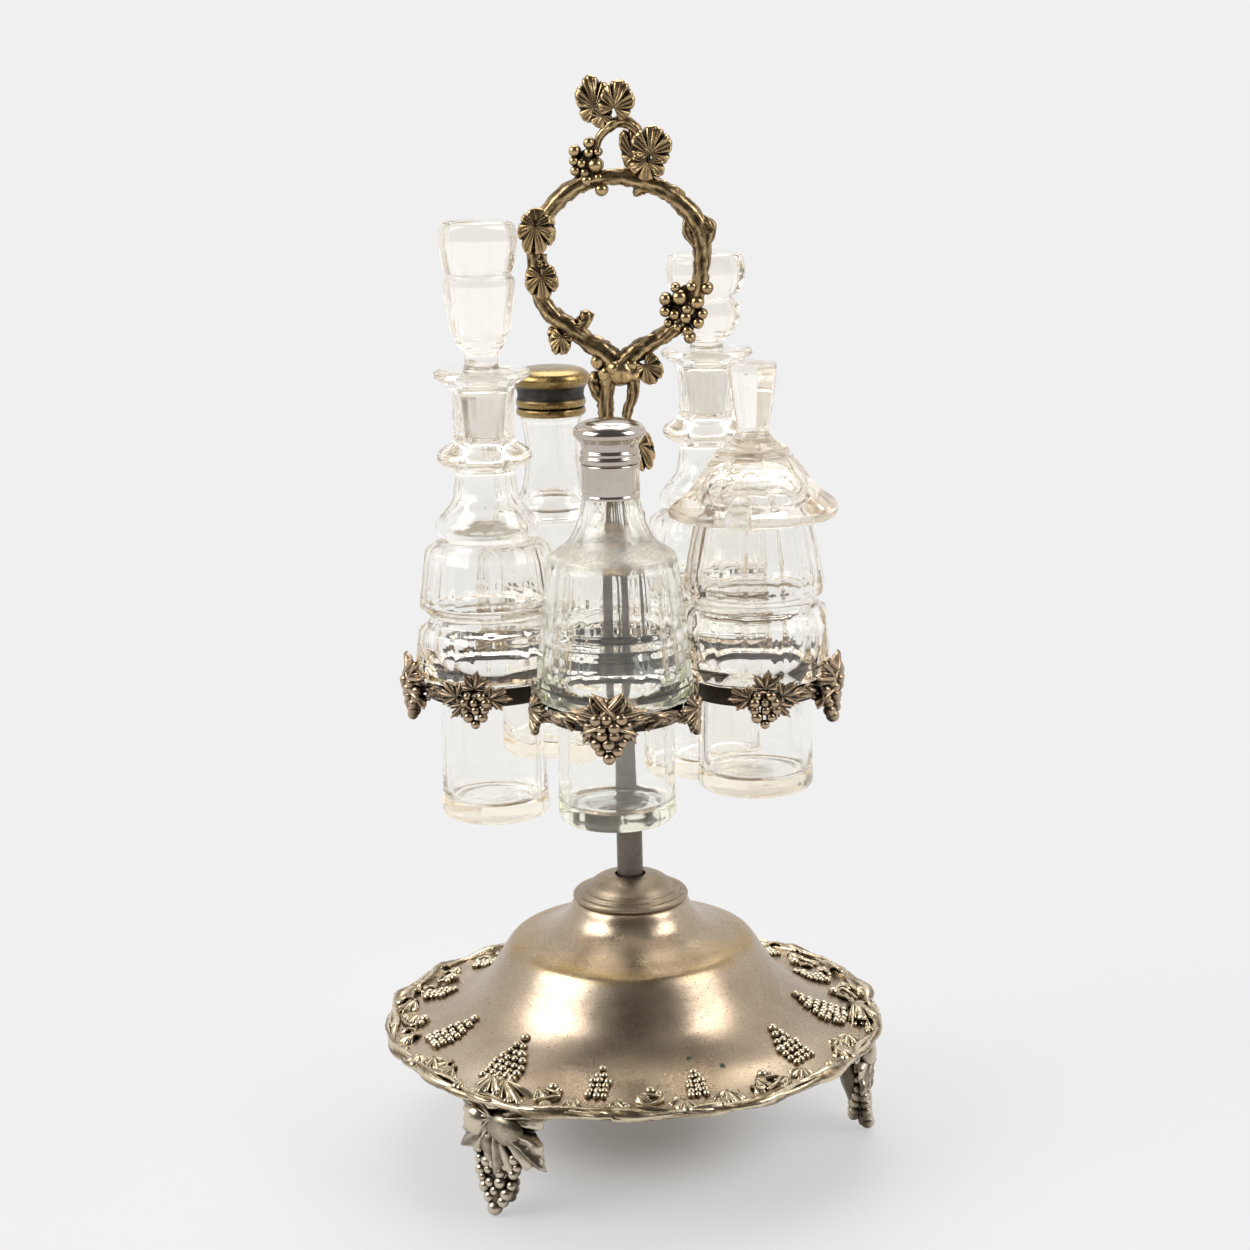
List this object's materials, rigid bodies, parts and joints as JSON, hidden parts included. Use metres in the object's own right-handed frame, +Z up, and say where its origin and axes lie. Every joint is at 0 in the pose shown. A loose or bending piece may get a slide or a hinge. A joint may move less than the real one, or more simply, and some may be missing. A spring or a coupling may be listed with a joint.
{
  "type": "cruet set",
  "caption": "Revolving cruet stand: domed plate on cast leaf feet, bar with a ring frame for stoppered and capped glass bottles, and a looped vine handle",
  "frame": {"origin": "on the column axis at the level of the table, under the middle of the plate", "axes": "+Z up along the column, -Y the front with the silver-capped shaker, the handle loop in the XZ plane"},
  "size_m": [0.195, 0.195, 0.4096],
  "materials": {
    "plate_metal": "worn satin silver plate with bronze showing through",
    "cap_metal": "worn satin silver plate",
    "vine_metal": "antique bronze with dark recesses and rubbed highlights",
    "border_metal": "worn silver plate over bronze",
    "rod_metal": "dull pitted grey-brown metal",
    "band_metal": "dark brown-black patina",
    "silver": "bright warm silver",
    "brass_cap": "worn brass with grey residue",
    "clear_glass": "clear pressed glass with a warm tint at the edges",
    "hidden_metal": "plain turned metal"
  },
  "bodies": {
    "base": {"base_shell": "plate_metal", "dome_cap": "cap_metal", "rim_vine": "border_metal", "border_relief": "border_metal", "foot_front_left": "border_metal", "foot_right": "border_metal", "foot_back_left": "border_metal", "pivot_bush": "hidden_metal"},
    "column": {"centre_rod": "rod_metal", "retaining_washer": "hidden_metal", "retaining_nut": "hidden_metal", "frame_hub": "band_metal", "ring_front": "band_metal", "ring_right": "band_metal", "ring_back_right": "band_metal", "ring_back_left": "band_metal", "ring_left": "band_metal", "garland_front": "vine_metal", "garland_right": "vine_metal", "garland_back_right": "vine_metal", "garland_back_left": "vine_metal", "garland_left": "vine_metal", "rod_capital": "vine_metal", "handle_vine": "vine_metal", "handle_foliage": "vine_metal"},
    "oil_bottle_left": {"oil_bottle_left": "clear_glass"},
    "stopper_left": {"stopper_left": "clear_glass"},
    "oil_bottle_back": {"oil_bottle_back": "clear_glass"},
    "stopper_back": {"stopper_back": "clear_glass"},
    "shaker_front": {"shaker_front": "clear_glass", "shaker_front_collar": "silver"},
    "cap_front": {"shaker_front_cap": "silver"},
    "shaker_back": {"shaker_back": "clear_glass", "shaker_back_collar": "brass_cap"},
    "cap_back": {"shaker_back_cap": "brass_cap"},
    "mustard_jar": {"mustard_jar": "clear_glass"},
    "mustard_lid": {"mustard_lid": "clear_glass"}
  },
  "joints": [
    {"name": "column_turn", "type": "hinge", "parent": "base", "child": "column", "pos_m": [0, 0, 0.09], "axis": [0, 0, 1], "continuous": true},
    {"name": "oil_left_lift", "type": "slide", "parent": "column", "child": "oil_bottle_left", "axis": [0, 0, 1], "range_m": [0, 0.056]},
    {"name": "stopper_left_lift", "type": "slide", "parent": "oil_bottle_left", "child": "stopper_left", "axis": [0, 0, 1], "range_m": [0, 0.028]},
    {"name": "oil_back_lift", "type": "slide", "parent": "column", "child": "oil_bottle_back", "axis": [0, 0, 1], "range_m": [0, 0.056]},
    {"name": "stopper_back_lift", "type": "slide", "parent": "oil_bottle_back", "child": "stopper_back", "axis": [0, 0, 1], "range_m": [0, 0.028]},
    {"name": "shaker_front_lift", "type": "slide", "parent": "column", "child": "shaker_front", "axis": [0, 0, 1], "range_m": [0, 0.046]},
    {"name": "cap_front_lift", "type": "slide", "parent": "shaker_front", "child": "cap_front", "axis": [0, 0, 1], "range_m": [0, 0.018]},
    {"name": "shaker_back_lift", "type": "slide", "parent": "column", "child": "shaker_back", "axis": [0, 0, 1], "range_m": [0, 0.046]},
    {"name": "cap_back_lift", "type": "slide", "parent": "shaker_back", "child": "cap_back", "axis": [0, 0, 1], "range_m": [0, 0.018]},
    {"name": "mustard_jar_lift", "type": "slide", "parent": "column", "child": "mustard_jar", "axis": [0, 0, 1], "range_m": [0, 0.0436]},
    {"name": "mustard_lid_lift", "type": "slide", "parent": "mustard_jar", "child": "mustard_lid", "axis": [0, 0, 1], "range_m": [0, 0.0075]}
  ]
}
